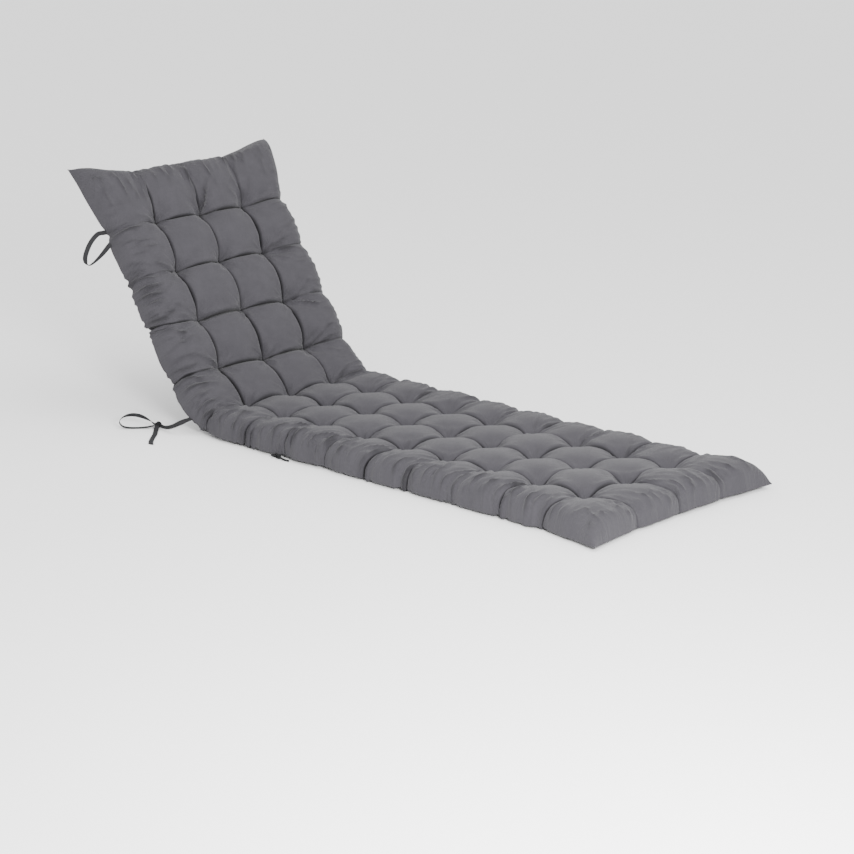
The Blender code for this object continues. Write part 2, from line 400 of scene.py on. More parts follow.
def finish_piece(piece, material, slot, *nodes):
    """Give a piece its material and let it ride on the cushion. Its slot in the table is not used."""
    only(piece)
    bpy.ops.object.shade_smooth_by_angle(angle=FACET_ANGLE)
    piece.data.materials.clear()
    piece.data.materials.append(material)
    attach(piece, "root")
    if nodes:
        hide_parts(*nodes)


def strip(name, route, width=TAPE_WIDTH, cut=0.0, cup=0.0):
    """A strip of tape along a route in metres. cut slants its far end, cup hollows it."""
    length = length_of(route)
    bpy.ops.object.select_all(action="DESELECT")
    bpy.ops.mesh.primitive_grid_add(
        x_subdivisions=len(route) - 1, y_subdivisions=TAPE_QUADS_ACROSS, size=1.0)
    piece = named(name)
    set_metres(piece, length, width)
    flat = points_of(piece)
    tangents = np.gradient(route[:, :3], axis=0)
    tangents /= np.linalg.norm(tangents, axis=1)[:, None]
    widths = route[:, 3:] - tangents * (route[:, 3:] * tangents).sum(axis=1)[:, None]
    widths /= np.linalg.norm(widths, axis=1)[:, None]
    faces = np.cross(tangents, widths)
    row = np.rint((flat[:, 0] + 0.5) * (len(route) - 1)).astype(int)
    across = flat[:, 1:2]
    slant = cut * across * np.clip((flat[:, :1] + 0.5) * 4 - 3, 0, 1) ** 2
    placed = (route[row, :3] + widths[row] * across * width + tangents[row] * slant
              + faces[row] * cup * (4 * across ** 2 - 0.33))
    move_points(piece, placed)
    solid = piece.modifiers.new("thickness", "SOLIDIFY")
    solid.thickness = TAPE_THICK
    solid.offset = 0.0
    rounded = piece.modifiers.new("woven_edge", "BEVEL")
    rounded.width = TAPE_SELVEDGE
    rounded.segments = 2
    apply_modifiers(piece)
    return piece, length


for name, table, start, end, cut in (
        ("back_loop", BACK_LOOP, 0.008, 0.008, 0.0),
        ("bend_strap", BEND_STRAP, 0.008, 0.004, 0.0),
        ("bend_bow", BEND_BOW, 0.004, 0.004, 0.0),
        ("bend_tail", BEND_TAIL, 0.004, 0.0, 0.010)):
    route = tucked(smooth_route(table) * ([MM] * 3 + [1.0] * 3), start, end)
    piece, length = strip("tape_" + name, route, cut=cut)
    finish_piece(piece, TAPE_FINISH, "tie_tape", name)
    print(name, "is", round(length * 1000), "mm of tape")

# %% [markdown]
# A tied knot is the same tape, wrapped on itself. Three short rings of tape at different tilts, round a
# small core, give the crossing bands that a tied knot shows. The knot's finish is the tape's in a darker
# colour: painted shade for the shadow in its folds.

# %% The knot at the bend
KNOT_CENTRE = np.array((-0.5555, -0.3185, 0.0090))
KNOT_CORE = 0.0058
KNOT_TAPE = 0.0085
KNOT_CUP = -0.0007
KNOT_BANDS = (
    # half length, half height, tilt and turn in degrees
    (0.0070, 0.0066, 8.0, 20.0),
    (0.0066, 0.0072, 78.0, -10.0),
    (0.0058, 0.0064, 40.0, 75.0),
)


def ring_route(half_length, half_height, tilt, turn, count=20):
    """A closed ring of tape round the knot's middle, with the direction of its width."""
    angle = np.linspace(0, 2 * math.pi, count)
    flat = np.stack((np.cos(angle) * half_length, np.zeros(count), np.sin(angle) * half_height), 1)
    wide = np.tile((0.0, 1.0, 0.0), (count, 1))
    lean = Matrix.Rotation(math.radians(tilt), 3, "X")
    spin = Matrix.Rotation(math.radians(turn), 3, "Z")
    matrix = np.array(spin @ lean).T
    return np.hstack((flat @ matrix + KNOT_CENTRE, wide @ matrix))


def join(pieces, name):
    only(pieces[0])
    for piece in pieces:
        piece.select_set(True)
    bpy.ops.object.join()
    return named(name)


bands = [strip("band", ring_route(*band), width=KNOT_TAPE, cup=KNOT_CUP)[0] for band in KNOT_BANDS]
bpy.ops.object.select_all(action="DESELECT")
bpy.ops.mesh.primitive_uv_sphere_add(
    segments=16, ring_count=10, radius=KNOT_CORE, location=KNOT_CENTRE)
bpy.ops.object.transform_apply(location=True, rotation=True, scale=True)
core = named("core")
set_metres(core, 0.03, 0.02)
knot = join([core] + bands, "tape_knot")
finish_piece(knot, KNOT_PAINTED_SHADE_FINISH, "tie_tape", "bend_knot")
print("the knot has", len(knot.data.polygons), "faces")

# %% [markdown]
# The tie under the seat is a thin black cord with a single overhand knot. A circle is swept along
# its route by a curve with a bevel, and the curve is then made a mesh. A trefoil, the line that an
# overhand knot follows, gives the knot its crossing strands.

# %% The cord under the seat
SEAT_KNOT_CENTRE = np.array((-0.1390, -0.3000, 0.0064))
SEAT_KNOT_REACH = 0.0041
SEAT_KNOT_STRAND = 0.0038


def tube(name, route, diameter, closed=False):
    """A round cord along a route, as a mesh."""
    curve = bpy.data.curves.new(name, "CURVE")
    curve.dimensions = "3D"
    curve.bevel_depth = diameter / 2
    curve.bevel_resolution = 4
    curve.use_fill_caps = not closed
    spline = curve.splines.new("POLY")
    spline.points.add(len(route) - 1)
    for point, where in zip(spline.points, route):
        point.co = (*where, 1.0)
    spline.use_cyclic_u = closed
    piece = bpy.data.objects.new(name, curve)
    bpy.context.scene.collection.objects.link(piece)
    only(piece)
    bpy.ops.object.convert(target="MESH")
    piece = named(name)
    bpy.ops.object.mode_set(mode="EDIT")
    bpy.ops.mesh.select_all(action="SELECT")
    bpy.ops.mesh.remove_doubles(threshold=0.00002)
    bpy.ops.mesh.normals_make_consistent(inside=False)
    bpy.ops.object.mode_set(mode="OBJECT")
    if "UVMap" not in piece.data.uv_layers:
        piece.data.uv_layers.new(name="UVMap")
    return piece


def trefoil(centre, reach, count=48):
    t = np.linspace(0, 2 * math.pi, count, endpoint=False)
    x = (np.sin(t) + 2 * np.sin(2 * t)) / 3
    y = -np.sin(3 * t) * 0.75
    z = (np.cos(t) - 2 * np.cos(2 * t)) / 3
    return centre + np.stack((x, y, z), axis=1) * reach


for name, table in (("seat_loop", SEAT_LOOP), ("seat_end", SEAT_END)):
    route = smooth_route(table) * MM
    piece = tube("cord_" + name, route, CORD_DIAMETER)
    finish_piece(piece, CORD_FINISH, "seat_tie_cord", name)
    print(name, "is", round(length_of(route) * 1000), "mm of cord")
seat_knot = tube("cord_knot", trefoil(SEAT_KNOT_CENTRE, SEAT_KNOT_REACH), SEAT_KNOT_STRAND, True)
finish_piece(seat_knot, CORD_FINISH, "seat_tie_cord", "seat_knot")

# %% [markdown]
# The two loops come back to where they start, and only the tail has an end that shows, cut at a slant.


# %% [markdown]
# Now the cushion. Its shape is worked out in the cloth's own measures: s runs along the cloth from
# the foot seam to the head seam, t across it, and n stands up from the underside of the seat. The
# tufting thread stands on a regular net of lines, and a little seeded unevenness makes it handmade.

# %% Sizes of the cover
ROWS = 14
COLUMNS = 4
ROW_PITCH = 0.1376
COLUMN_PITCH = 0.148
END_ROW = 0.154
SIDE_COLUMN = 0.148
WIDTH = 2 * SIDE_COLUMN + (COLUMNS - 2) * COLUMN_PITCH

# Heights over the surface that the seat lies on.
TUFT_TOP = 0.026
TUFT_LINE = 0.027         # the line that the bend turns on
TUFT_UNDER = 0.019
CROWN = 0.074             # the middle of a puff
SEAM_HEIGHT = 0.0105
SEAM_EDGE = 0.003         # how thick the seam is

PUFF_ROUND = 2.6          # the power of the superellipse
CREASE = 0.84             # how high a puff is midway between two tufts, its middle being 1
UNDER_CREASE = 0.74
LIP = 0.84                # how high its edge is
UNDER_FLAT = 1.60         # how widely the seat's puffs are flat underneath
BACK_SWELL = 0.34         # how far the back's puffs swell out behind instead
NOTCH = 0.005             # the seam is drawn in this far at each fold
SEAM_DRIFT = 0.013        # how far a fold wanders along the cloth on its way down to the seam
SCALLOP = 0.006           # the seam bows out this far between two rows
SEAM_WAVE = 0.0022        # and it is never quite straight
EAR_SIDE = 0.028          # how far the corners are drawn out, to the side and to the end
EAR_END = 0.023
EAR_TAPER = 1.4
EAR_LIFT = 0.012          # those at the head curl up this far
HEAD_EAR = 1.35           # the corners at the head stick out more than those at the foot,
FAR_FOOT_EAR = 0.72       # and the far one at the foot a little less

SEAT_FLAT = 1.195
BEND_RADIUS = 0.185
BACK_ANGLE = math.radians(56)
BEND_END = SEAT_FLAT + BEND_RADIUS * BACK_ANGLE

SEED = 11
TUFT_WANDER = 0.0035
PUFF_WANDER = 0.0035


def lines(first, pitch, count):
    """Places of the two seams and of the tuft lines between them, from 0."""
    inner = [first + pitch * k for k in range(count - 1)]
    return np.array([0.0] + inner + [inner[-1] + first])


ROW_LINES = lines(END_ROW, ROW_PITCH, ROWS)
COLUMN_LINES = lines(SIDE_COLUMN, COLUMN_PITCH, COLUMNS) - WIDTH / 2
LENGTH = float(ROW_LINES[-1])
FOOT_SEAM_X = PAD_HIGH.x - EAR_END


def unevenness():
    """A small seeded shift for each tuft and a small change of height for each puff."""
    dice = random.Random(SEED)
    shifts = np.zeros((ROWS + 1, COLUMNS + 1, 2))
    for row in range(1, ROWS):
        for column in range(1, COLUMNS):
            shifts[row, column] = [dice.uniform(-TUFT_WANDER, TUFT_WANDER) for _ in range(2)]
    heights = [[dice.uniform(-PUFF_WANDER, PUFF_WANDER) for _ in range(COLUMNS)] for _ in range(ROWS)]
    return shifts, np.array(heights)


TUFT_SHIFTS, PUFF_HEIGHTS = unevenness()
row_dice = random.Random(SEED + 1)


def per_row(low, high):
    """A random number for each end of each row line, on the near side and on the far side."""
    return np.array([[row_dice.uniform(low, high) for _ in range(2)] for _ in range(ROWS + 1)])


ROW_DRIFT = per_row(-SEAM_DRIFT, SEAM_DRIFT)
ROW_DRIFT[[0, -1]] = 0.0
ROW_PINCH = per_row(0.3, 1.5)
# How far a fold fades before it reaches the seam: 0 not at all, 1 wholly. The near side's folds are
# chosen one by one, and so are the column folds at the foot end and at the head end.
ROW_SOFT = per_row(0.0, 0.6)
ROW_SOFT[1:14, 0] = (0.2, 0.2, 0.1, 0.85, 0.0, 0.9, 0.85, 0.6, 0.3, 0.1, 0.15, 0.8, 1.0)
COLUMN_SOFT = np.array([[0.0, 0.0], [0.55, 0.15], [0.75, 0.5], [0.95, 0.75], [0.0, 0.0]])


def tufts():
    """The row, the column and the place on the cloth of each tuft."""
    for row in range(1, ROWS):
        for column in range(1, COLUMNS):
            crossing = np.array((ROW_LINES[row], COLUMN_LINES[column]))
            yield row, column, crossing + TUFT_SHIFTS[row, column]


print(ROWS * COLUMNS, "puffs and", (ROWS - 1) * (COLUMNS - 1), "tufts on", round(LENGTH, 3), "m of cloth")

# %% [markdown]
# A puff's section is a superellipse: nearly flat on top, with steep sides that meet the next puff in
# a narrow crease. The crease itself is a slot: its bottom line lies deeper than the lips of the two
# puffs that press against each other, and that is what makes it read as a thin dark line. Points are
# packed closer near the creases, where the shape turns fastest.

# %% The shape of a puff
QUADS_ALONG = 16
QUADS_ACROSS = 13
SLOT_HALF = 0.0026        # from the middle of a crease to the lip of the puff
SLOT_DEPTH = 0.013
UNDER_SLOT = 0.6
SIDE_SLOT = 0.007
SOFT_NEARNESS = 1.6
EDGE_PACKING = 1.3


def smooth(x):
    x = np.clip(x, 0.0, 1.0)
    return x * x * (3 - 2 * x)


def in_puff(share, marks, quads):
    """Where points at shares 0 to 1 of the way along these marks lie in their puffs.

    It gives the cell, the part of it, the place, the rise above the puff's edge, how far the point
    is from the puff's middle, whether the seam is on its side, the slot and how near the seam is.
    """
    cells = len(marks) - 1
    cell = np.minimum((share * cells + 1e-9).astype(int), cells - 1)
    part = np.clip(share * cells - cell, 0.0, 1.0)
    low, high = marks[cell], marks[cell + 1]
    half = (high - low) / 2
    gap = 1 - np.abs(2 * part - 1)
    first = 2 / quads
    lip = SLOT_HALF / half
    spread = lip + (1 - lip) * np.clip((gap - first) / (1 - first), 0, 1) ** EDGE_PACKING
    from_edge = np.where(gap <= first + 1e-9, lip * gap / first, spread)
    across = np.sign(2 * part - 1) * (1 - from_edge)
    rise = np.maximum(1 - np.abs(across) ** PUFF_ROUND, 0.0) ** (1 / PUFF_ROUND)
    where = (low + high) / 2 + across * half
    outer = ((cell == 0) & (part < 0.5)) | ((cell == cells - 1) & (part > 0.5))
    away = np.where(outer, 0.0, np.abs(across))
    start = np.where(cell == 0, 1 - (where - marks[0]) / (marks[1] - marks[0]), 0.0)
    end = np.where(cell == cells - 1, 1 - (marks[-1] - where) / (marks[-1] - marks[-2]), 0.0)
    inner = (share > 1e-6) & (share < 1 - 1e-6)
    slot = np.where(inner, np.clip(1 - gap / first, 0, 1), 0.0)
    return cell, part, where, rise, away, outer, slot, np.maximum(start, end)


# %% [markdown]
# The cloth's measures become a place in the world here. The seat is flat, the pad bends once over
# a wide curve, as a thick pad must, and the back is straight again.

# %% From the cloth to the world


def place(s, t, n):
    """World points for places on the cloth: a flat seat, one bend and a straight back."""
    turn = np.clip((s - SEAT_FLAT) / BEND_RADIUS, 0.0, BACK_ANGLE)
    straight = np.maximum(s - BEND_END, 0.0)
    x = FOOT_SEAM_X - np.minimum(s, SEAT_FLAT) - BEND_RADIUS * np.sin(turn) - straight * np.cos(turn)
    z = TUFT_LINE + BEND_RADIUS * (1 - np.cos(turn)) + straight * np.sin(turn)
    lift = n - TUFT_LINE
    return np.stack((x + np.sin(turn) * lift, t, z + np.cos(turn) * lift), axis=1)


# %% [markdown]
# A puff stands highest in its middle, a little lower where it meets a neighbour, and lowest at its
# four tufts. Along the seams it rolls all the way down. Real folds are not alike, so some of them
# fade out before they reach the seam, and each wanders a little on its way.

# %% The height of the cover


def dome(a, b, crease):
    """A puff's height: 1 in its middle, crease midway between two tufts and 0 at a tuft."""
    return 1 - (1 - crease) * (a * a + b * b) - (2 * crease - 1) * a * a * b * b


def roll(rise, outer, lip=LIP):
    """A puff's edge rolls a little way down into the fold, or all the way down to the seam."""
    return np.where(outer, rise, lip + (1 - lip) * rise)


def between(first, second, share):
    return first * (1 - share) + second * share


def seam_wave(along, side):
    """A slow irregular wave from -1 to 1 along the seam."""
    return (np.sin(along * 61 + 2.1 * side) + np.sin(along * 97 + 4.0 + side)
            + np.sin(along * 23 - 1.3 * side)) / 3


def cover_points(u, v, upper):
    """Where the points of the two covers lie, at shares u along and v across."""
    row, a, s, rise_a, away_a, outer_a, slot_a, end_near = in_puff(u, ROW_LINES, QUADS_ALONG)
    column, b, t, rise_b, away_b, outer_b, slot_b, side_near = in_puff(v, COLUMN_LINES, QUADS_ACROSS)
    side = np.where(v > 0.5, 1.0, -1.0)
    end = np.where(u > 0.5, 1.0, -1.0)
    on_far = (side > 0).astype(int)
    nearest_row = np.where(a < 0.5, row, row + 1)
    soft = ROW_SOFT[nearest_row, on_far] * smooth(side_near * SOFT_NEARNESS) * (nearest_row % ROWS > 0)
    slot_a = slot_a * (1 - soft)
    nearest_column = np.where(b < 0.5, column, column + 1)
    end_soft = COLUMN_SOFT[nearest_column, (end > 0).astype(int)] * smooth(end_near * SOFT_NEARNESS)
    slot_b = slot_b * (1 - end_soft)
    inside = smooth(1 - end_near) * smooth(1 - side_near)
    height = dome(away_a, away_b, np.where(upper, CREASE, UNDER_CREASE))
    puff = (height * roll(rise_a, outer_a, LIP + (1 - LIP) * soft)
            * roll(rise_b, outer_b, LIP + (1 - LIP) * end_soft))
    slot = height * np.maximum(slot_a, slot_b)

    base = SEAM_HEIGHT + SEAM_EDGE / 2 + (TUFT_TOP - SEAM_HEIGHT) * inside
    top = base + (CROWN + PUFF_HEIGHTS[row, column] - base) * puff - SLOT_DEPTH * slot * inside
    base = SEAM_HEIGHT - SEAM_EDGE / 2 + (TUFT_UNDER - SEAM_HEIGHT) * inside
    swell = 1 + BACK_SWELL * smooth((s - SEAT_FLAT) / (BEND_END - SEAT_FLAT))
    under = base * (1 - np.minimum(UNDER_FLAT * puff, swell)) + SLOT_DEPTH * UNDER_SLOT * slot * inside
    n = np.where(upper, top, under)

    t = t - side * NOTCH * (1 - rise_a) * side_near ** 2 * ((u > 0) & (u < 1))
    s = s - end * NOTCH * (1 - rise_b) * end_near ** 2 * ((v > 0) & (v < 1))
    down_side = np.where(outer_b, 1 - rise_b, 0.0)
    drift = between(ROW_DRIFT[row, on_far], ROW_DRIFT[row + 1, on_far], a)
    pinch = ROW_PINCH[nearest_row, on_far]
    t = t - side * SIDE_SLOT * slot_a * down_side * pinch
    t = t - side * (SCALLOP * away_a ** 2 + SEAM_WAVE * seam_wave(s, side)) * side_near ** 2
    s = s + drift * down_side - end * SEAM_WAVE * seam_wave(t, end) * end_near ** 2
    s = s - end * SIDE_SLOT * slot_b * np.where(outer_a, 1 - rise_a, 0.0)
    ear = (end_near * side_near) ** EAR_TAPER
    n = n + np.where(end > 0, EAR_LIFT * ear, 0.0)
    ear = np.where(end > 0, HEAD_EAR * ear, np.where(side > 0, FAR_FOOT_EAR * ear, ear))
    near = between(TUFT_SHIFTS[row, column], TUFT_SHIFTS[row, column + 1], b[:, None])
    far = between(TUFT_SHIFTS[row + 1, column], TUFT_SHIFTS[row + 1, column + 1], b[:, None])
    shift = between(near, far, a[:, None])
    s = s + end * EAR_END * ear + shift[:, 0]
    t = t + side * EAR_SIDE * ear + shift[:, 1]
    return s, t, n, np.maximum(slot_a, slot_b)


# %% [markdown]
# The two panels start as one flat grid, and Solidify doubles it and closes its edge, just as the
# seam joins the two covers. Each point is then carried to its place. Where a point lies on the cloth
# is kept in the UV map and in attributes, because the later steps and the weave need it.

# %% Sew the two covers together


def keep_attribute(piece, name, values):
    layer = piece.data.attributes.get(name) or piece.data.attributes.new(name, "FLOAT", "POINT")
    layer.data.foreach_set("value", np.asarray(values, np.float32))


def lay_uv(piece, s, t):
    """The UV map takes the cloth's own measures, in metres, so that the weave keeps its size."""
    corner = read(piece.data.loops, "vertex_index", kind=int)
    flat = np.stack((s[corner], t[corner]), axis=1).astype(np.float32)
    piece.data.uv_layers["UVMap"].uv.foreach_set("vector", flat.ravel())


def read_attribute(piece, name):
    return read(piece.data.attributes[name].data, "value")


bpy.ops.object.select_all(action="DESELECT")
bpy.ops.mesh.primitive_grid_add(
    x_subdivisions=ROWS * QUADS_ALONG, y_subdivisions=COLUMNS * QUADS_ACROSS, size=1.0)
cushion = named("cushion_cover")
panels = cushion.modifiers.new("two_panels", "SOLIDIFY")
panels.thickness = 0.1
panels.offset = 0.0
apply_modifiers(cushion)
flat = points_of(cushion)
share_along = np.round(flat[:, 0] + 0.5, 6)
share_across = np.round(flat[:, 1] + 0.5, 6)
is_upper = flat[:, 2] > 0
cloth_s, cloth_t, cloth_n, in_slot = cover_points(share_along, share_across, is_upper)
move_points(cushion, place(cloth_s, cloth_t, cloth_n))
lay_uv(cushion, cloth_s, cloth_t)
keep_attribute(cushion, "cloth_s", cloth_s)
keep_attribute(cushion, "cloth_t", cloth_t)
keep_attribute(cushion, "upper", is_upper)
# painted shade: the crease slots are kept as an attribute that darkens the cloth's colour there
keep_attribute(cushion, "painted_crease_shade", in_slot)
print("the sewn cover has", len(cushion.data.polygons), "faces")

# %% [markdown]
# Filling: Blender's Cloth with pressure stands for the stuffing. The seam, the creases and the tufts
# are held still, and the cloth between them is a trifle larger than the shape, so it swells by
# itself. How far a point may move is capped, which keeps every puff inside the cushion's size.

# %% Fill the cover
FILL_FRAMES = 20
FILL_PRESSURE = 5.0
FILL_CAP = 0.005
EXTRA_CLOTH = -0.005
TUFT_HOLD = 0.006


def near_tuft(s, t):
    """Distance from each point to the nearest tuft, in metres along the cloth."""
    best = np.full(len(s), np.inf)
    for _, _, centre in tufts():
        best = np.minimum(best, np.hypot(s - centre[0], t - centre[1]))
    return best


def fill(piece, held):
    """Inflate the cover between the points that are held."""
    start = points_of(piece)
    group = piece.vertex_groups.new(name="held")
    group.add([int(index) for index in np.nonzero(held)[0]], 1.0, "REPLACE")
    cloth = piece.modifiers.new("filling", "CLOTH")
    cloth.settings.quality = 6
    cloth.settings.mass = 0.25
    cloth.settings.tension_stiffness = 25.0
    cloth.settings.compression_stiffness = 12.0
    cloth.settings.shear_stiffness = 8.0
    cloth.settings.bending_stiffness = 0.12
    cloth.settings.use_pressure = True
    cloth.settings.uniform_pressure_force = FILL_PRESSURE
    cloth.settings.shrink_min = EXTRA_CLOTH
    cloth.settings.vertex_group_mass = "held"
    cloth.settings.effector_weights.gravity = 0.0
    cloth.collision_settings.use_collision = False
    for number in range(1, FILL_FRAMES + 1):
        bpy.context.scene.frame_set(number)
    apply_modifiers(piece)
    bpy.context.scene.frame_set(1)
    piece.vertex_groups.clear()
    step = points_of(piece) - start
    reach = np.linalg.norm(step, axis=1)
    step *= (np.minimum(reach, FILL_CAP) / np.maximum(reach, 1e-9))[:, None]
    move_points(piece, start + step)
    return reach


on_seam = (share_along <= 0) | (share_along >= 1) | (share_across <= 0) | (share_across >= 1)
held = on_seam | (in_slot > 0.5) | (near_tuft(cloth_s, cloth_t) < TUFT_HOLD)
reach = fill(cushion, held)
print("the filling moved points by up to", (reach.max() * 1000).round(1), "mm")

# %% [markdown]
# One subdivision makes the cloth smooth. The bottoms of the creases are marked as sharp edges first,
# or the smoothing would fill them in.

# %% Subdivide, and keep the creases


def along_line(share, cells, first, second):
    """Whether both ends of an edge lie on the same line between two puffs, or on the seam."""
    on_line = np.abs(share * cells - np.rint(share * cells)) < 1e-4
    return on_line[first] & on_line[second] & np.isclose(share[first], share[second])


def mark_creases(piece):
    """Mark the edges that run along a line between two rows or columns of puffs."""
    first, second = read(piece.data.edges, "vertices", 2, int).T
    sharp = (along_line(share_along, ROWS, first, second)
             | along_line(share_across, COLUMNS, first, second))
    sharp &= is_upper[first] == is_upper[second]
    layer = piece.data.attributes.new("crease_edge", "FLOAT", "EDGE")
    layer.data.foreach_set("value", sharp.astype(np.float32))
    return int(sharp.sum())


print(mark_creases(cushion), "edges are kept as creases")
subdivide = cushion.modifiers.new("finer", "SUBSURF")
subdivide.levels = 1
subdivide.render_levels = 1
apply_modifiers(cushion)
cushion.data.attributes.remove(cushion.data.attributes["crease_edge"])
print("the finer cover has", len(cushion.data.polygons), "faces")

# %% [markdown]
# Gathers: where cloth is pulled to a stitch or a seam, the spare width folds into small pleats. Each
# pleat here is one stroke on the cloth, a soft valley with a ridge on either side that fades out at
# its far end. How long, wide and deep it is, and how far it bows aside, is drawn at random.

# %% Pleats
PLEAT_SEED = 5
PLEAT_START = 0.15        # the share of its length over which a pleat deepens
PLEAT_FADE = 0.55         # and the share over which it fades out
RIDGE_PLACE = 1.6         # the ridges stand this many widths beside the valley
RIDGE_HEIGHT = 0.55
PLEAT_GAIN = 1.5
PLEAT_LIMIT = 0.0060
# painted shade: the pleats' valleys are darkened in the cloth's colour, by up to this much
VALLEY_SHADE = 0.5        # how dark the bottom of the deepest pleat is

# The lengths, the widths and the depths of each kind of pleat, and how far it may bow aside.
TUFT_PLEAT = ((0.025, 0.06), (0.0045, 0.0062), (0.0008, 0.0022), 0.12)
SIDE_PLEAT = ((0.05, 0.13), (0.0038, 0.0072), (0.0012, 0.0042), 0.15)
END_PLEAT = ((0.06, 0.14), (0.0038, 0.0068), (0.0012, 0.0040), 0.15)
# A fan's lengths are shares of its reach, and a gather's depths are shares of its row's depth.
FAN_PLEAT = ((0.7, 1.0), (0.0040, 0.0066), (0.0014, 0.0038), 0.08)
GATHER_PLEAT = ((0.04, 0.075), (0.0036, 0.0050), (0.6, 1.0), 0.1)


class Panel:
    """One panel's points on the cloth, with the heights that the pleats give them."""

    def __init__(self, s, t):
        self.s = s
        self.t = t
        self.heights = np.zeros(len(s))
        self.dice = random.Random(PLEAT_SEED)

    def pleat(self, start, angle, kind, reach=1.0, pull=1.0):
        """Press in one pleat of this kind, in the points that it reaches."""
        lengths, widths, depths, most_bow = kind
        length = reach * self.dice.uniform(*lengths)
        width = self.dice.uniform(*widths)
        depth = pull * self.dice.uniform(*depths)
        bow = self.dice.uniform(-most_bow, most_bow)
        ds, dt = self.s - start[0], self.t - start[1]
        margin = length + 5 * width
        near = np.nonzero((np.abs(ds) < margin) & (np.abs(dt) < margin))[0]
        ds, dt = ds[near], dt[near]
        along = (ds * math.cos(angle) + dt * math.sin(angle)) / length
        off = -ds * math.sin(angle) + dt * math.cos(angle) - bow * length * along * (1 - along) * 4
        off /= width
        taper = smooth(along / PLEAT_START) * smooth((1 - along) / PLEAT_FADE)
        ridges = np.exp(-(off - RIDGE_PLACE) ** 2) + np.exp(-(off + RIDGE_PLACE) ** 2)
        self.heights[near] += depth * taper * (RIDGE_HEIGHT * ridges - np.exp(-off ** 2))


print("five kinds of pleat, up to", PLEAT_LIMIT * 1000, "mm deep")

# %% [markdown]
# Next comes where the pleats are. Thread that pulls at one point gives a small star of them round
# each tuft. A seam takes up the spare cloth of the puff beside it, so pleats stand on it at uneven
# distances, and the widest fans run from the outer tufts to the seams.

# %% Where the pleats are
NEAR_SIDE = 1.35          # the pleats along the near seam are deeper than those elsewhere,
FAR_SIDE = 0.55           # and those along the far seam are shallower
NEAR_BACK = 0.6           # the raised back's fans are shallower on the near side
FAR_BACK = 1.15           # and a little deeper on the far side
CORNER_PUFF = 0.5         # the four corner puffs are smoother than the rest
CORNER_REACH = END_ROW * 0.8
SEAM_MARGIN = 0.02
SEAM_LEAN = 0.35
SIDE_REACH = 0.15
SIDE_LEANS = (-0.5, -0.26, -0.1, 0.12, 0.3, 0.46)
END_REACH = 0.16
END_LEANS = (-0.7, -0.45, -0.2, 0.08, 0.3, 0.55)
# A puff's row, how many folds it is gathered in and how deep they are.
GATHERED_ROWS = ((11, 9, 0.0048), (12, 5, 0.0020), (3, 7, 0.0034), (4, 5, 0.0026), (5, 5, 0.0026),
                 (6, 9, 0.0036), (7, 9, 0.0034), (8, 8, 0.0034))


def tuft_pleats(panel):
    """A small star of pleats round each tuft."""
    for _, _, centre in tufts():
        count = panel.dice.randint(7, 10)
        turn = panel.dice.uniform(0, 2 * math.pi)
        for k in range(count):
            angle = turn + 2 * math.pi * k / count + panel.dice.uniform(-0.25, 0.25)
            start = centre + 0.003 * np.array((math.cos(angle), math.sin(angle)))
            panel.pleat(start, angle, TUFT_PLEAT)


def seam_pleats(panel):
    """Pleats that stand on the seam: along both sides and both ends."""
    for side, pull in ((-1, NEAR_SIDE), (1, FAR_SIDE)):
        s = SEAM_MARGIN
        while s < LENGTH - SEAM_MARGIN:
            angle = -side * (math.pi / 2) + panel.dice.uniform(-SEAM_LEAN, SEAM_LEAN)
            ease = CORNER_PUFF if min(s, LENGTH - s) < CORNER_REACH else 1.0
            panel.pleat((s, WIDTH / 2 * side), angle, SIDE_PLEAT, pull=pull * ease)
            s += panel.dice.uniform(0.009, 0.030)
    for end in (0, 1):
        t = -WIDTH / 2 + SEAM_MARGIN
        while t < WIDTH / 2 - SEAM_MARGIN:
            angle = end * math.pi + panel.dice.uniform(-SEAM_LEAN, SEAM_LEAN)
            panel.pleat((LENGTH * end, t), angle, END_PLEAT)
            t += panel.dice.uniform(0.010, 0.026)


def fan_pleats(panel):
    """Six folds spread from each outer tuft to the side seam, and from each end tuft to the end."""
    for row, column, centre in tufts():
        on_seat = ROW_LINES[row] < SEAT_FLAT
        at_side = column in (1, COLUMNS - 1)
        at_end = row in (1, ROWS - 1)
        pull = CORNER_PUFF if at_side and at_end else 1.0
        if column == COLUMNS - 1:
            pull *= FAR_SIDE if on_seat else FAR_BACK
        elif column == 1 and not on_seat:
            pull *= NEAR_BACK
        folds = []
        if at_side:
            towards = math.pi / 2 if column > 1 else -math.pi / 2
            folds += [(towards + lean, SIDE_REACH) for lean in SIDE_LEANS]
        if at_end:
            towards = 0.0 if row > 1 else math.pi
            folds += [(towards + lean, END_REACH) for lean in END_LEANS]
        for angle, reach in folds:
            panel.pleat(centre, angle + panel.dice.uniform(-0.08, 0.08), FAN_PLEAT, reach, pull)


def near_gathers(panel):
    """Some puffs on the near side are gathered hard where the seam was pulled: short deep folds."""
    for row, count, depth in GATHERED_ROWS:
        first, last = ROW_LINES[row], ROW_LINES[row + 1]
        for k in range(count):
            s = first + (last - first) * (k + panel.dice.uniform(0.1, 0.9)) / count
            angle = math.pi / 2 + panel.dice.uniform(-0.3, 0.3)
            panel.pleat((s, -WIDTH / 2), angle, GATHER_PLEAT, pull=depth)


print("pleats stand at", (ROWS - 1) * (COLUMNS - 1), "tufts and along four seams")

# %% [markdown]
# Both panels get the same set of pleats, since the thread goes right through. The heights are
# averaged once with their neighbours', or a pleat thinner than the mesh would show its squares, and
# then each point moves along its normal. Nothing goes below the surface that the cushion lies on.

# %% Press the pleats into the cover


def soften(piece, heights):
    """Average each height with its neighbours', so that no pleat is sharper than the mesh."""
    ends = read(piece.data.edges, "vertices", 2, int)
    first, second = ends.T
    count = np.bincount(ends.ravel(), minlength=len(heights))
    total = (np.bincount(first, heights[second], len(heights))
             + np.bincount(second, heights[first], len(heights)))
    return 0.5 * heights + 0.5 * total / count


